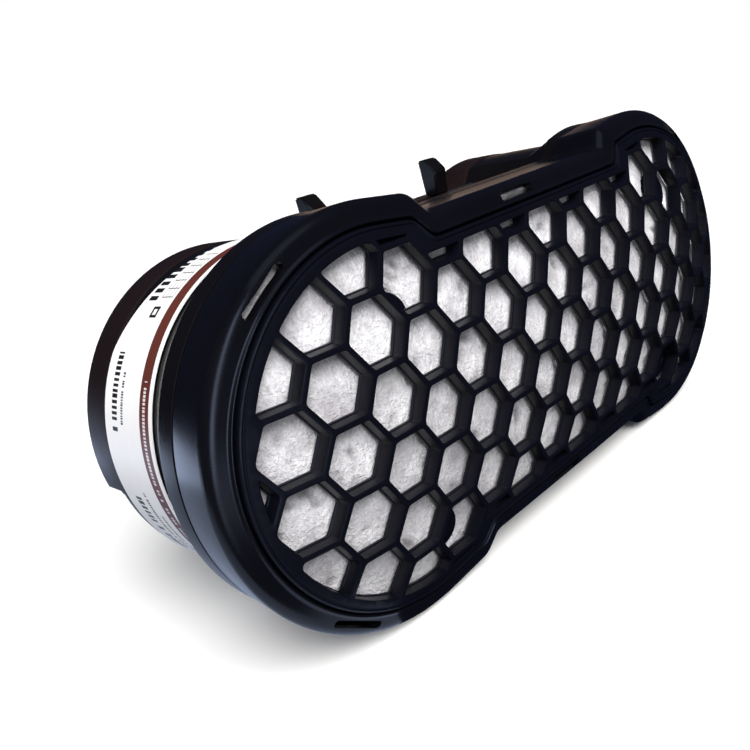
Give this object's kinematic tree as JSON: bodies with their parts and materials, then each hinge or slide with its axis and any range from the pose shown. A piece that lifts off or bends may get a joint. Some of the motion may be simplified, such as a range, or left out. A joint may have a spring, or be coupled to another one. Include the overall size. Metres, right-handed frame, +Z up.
{
  "type": "respirator filter cartridge",
  "caption": "Long two-lobed combined gas and particulate filter cartridge for a powered air respirator, with a domed honeycomb guard, a label round one end and latch hooks on top.",
  "frame": {"origin": "under the middle of the cartridge, on the surface that its long lower edge stands on", "axes": "+X along the cartridge to the unlabelled end, +Y from the honeycomb front to the outlet at the rear, +Z up through the edge with the latch hooks"},
  "size_m": [0.1508, 0.0522, 0.0678],
  "materials": {
    "bezel_plastic": "glossy black moulding",
    "guard_plastic": "satin blue-black moulding",
    "prefilter_fleece": "white needled non-woven",
    "seal_rubber": "soft black rubber",
    "housing_plastic": "semi-gloss black moulding",
    "filter_paper": "white pleated glass-fibre paper",
    "inner_plastic": "matt dark moulding",
    "potting_resin": "cream potting resin",
    "scrim_cloth": "thin white non-woven",
    "activated_carbon": "black granules",
    "foam": "open-cell grey foam",
    "shroud_plastic": "satin brown-black moulding",
    "label_film": "satin white printed film with a brown stripe"
  },
  "bodies": {
    "cartridge": {"cover_gasket": "seal_rubber", "filter_housing": "housing_plastic", "pleated_filter": "filter_paper", "pleat_frame": "inner_plastic", "pleat_sealant": "potting_resin", "front_carbon_grid": "inner_plastic", "front_carbon_scrim": "scrim_cloth", "carbon_bed": "activated_carbon", "rear_carbon_scrim": "scrim_cloth", "compression_foam": "foam", "rear_carbon_grid": "inner_plastic", "outlet_guard": "inner_plastic", "rear_shroud": "shroud_plastic", "outlet_collar": "housing_plastic", "outlet_gasket": "seal_rubber", "wrap_label": "label_film"},
    "front_cover": {"front_bezel": "bezel_plastic", "honeycomb_grille": "guard_plastic", "prefilter_pad": "prefilter_fleece", "pad_stud_upper_left": "guard_plastic", "pad_stud_upper_right": "guard_plastic", "pad_stud_lower_left": "guard_plastic", "pad_stud_lower_right": "guard_plastic"},
    "hook_left": {"latch_hook_left": "housing_plastic"},
    "hook_right": {"latch_hook_right": "housing_plastic"}
  },
  "joints": [
    {"name": "cover_pull", "type": "slide", "parent": "cartridge", "child": "front_cover", "axis": [0, -1, 0], "range_m": [0, 0.03]},
    {"name": "hook_left_flex", "type": "hinge", "parent": "cartridge", "child": "hook_left", "pos_m": [-0.0183, 0.0168, 0.0594], "axis": [1, 0, 0], "range_deg": [0, 6], "stiffness_Nm_per_rad": 0.2},
    {"name": "hook_right_flex", "type": "hinge", "parent": "cartridge", "child": "hook_right", "pos_m": [0.0183, 0.0168, 0.0594], "axis": [1, 0, 0], "range_deg": [0, 6], "stiffness_Nm_per_rad": 0.2}
  ]
}
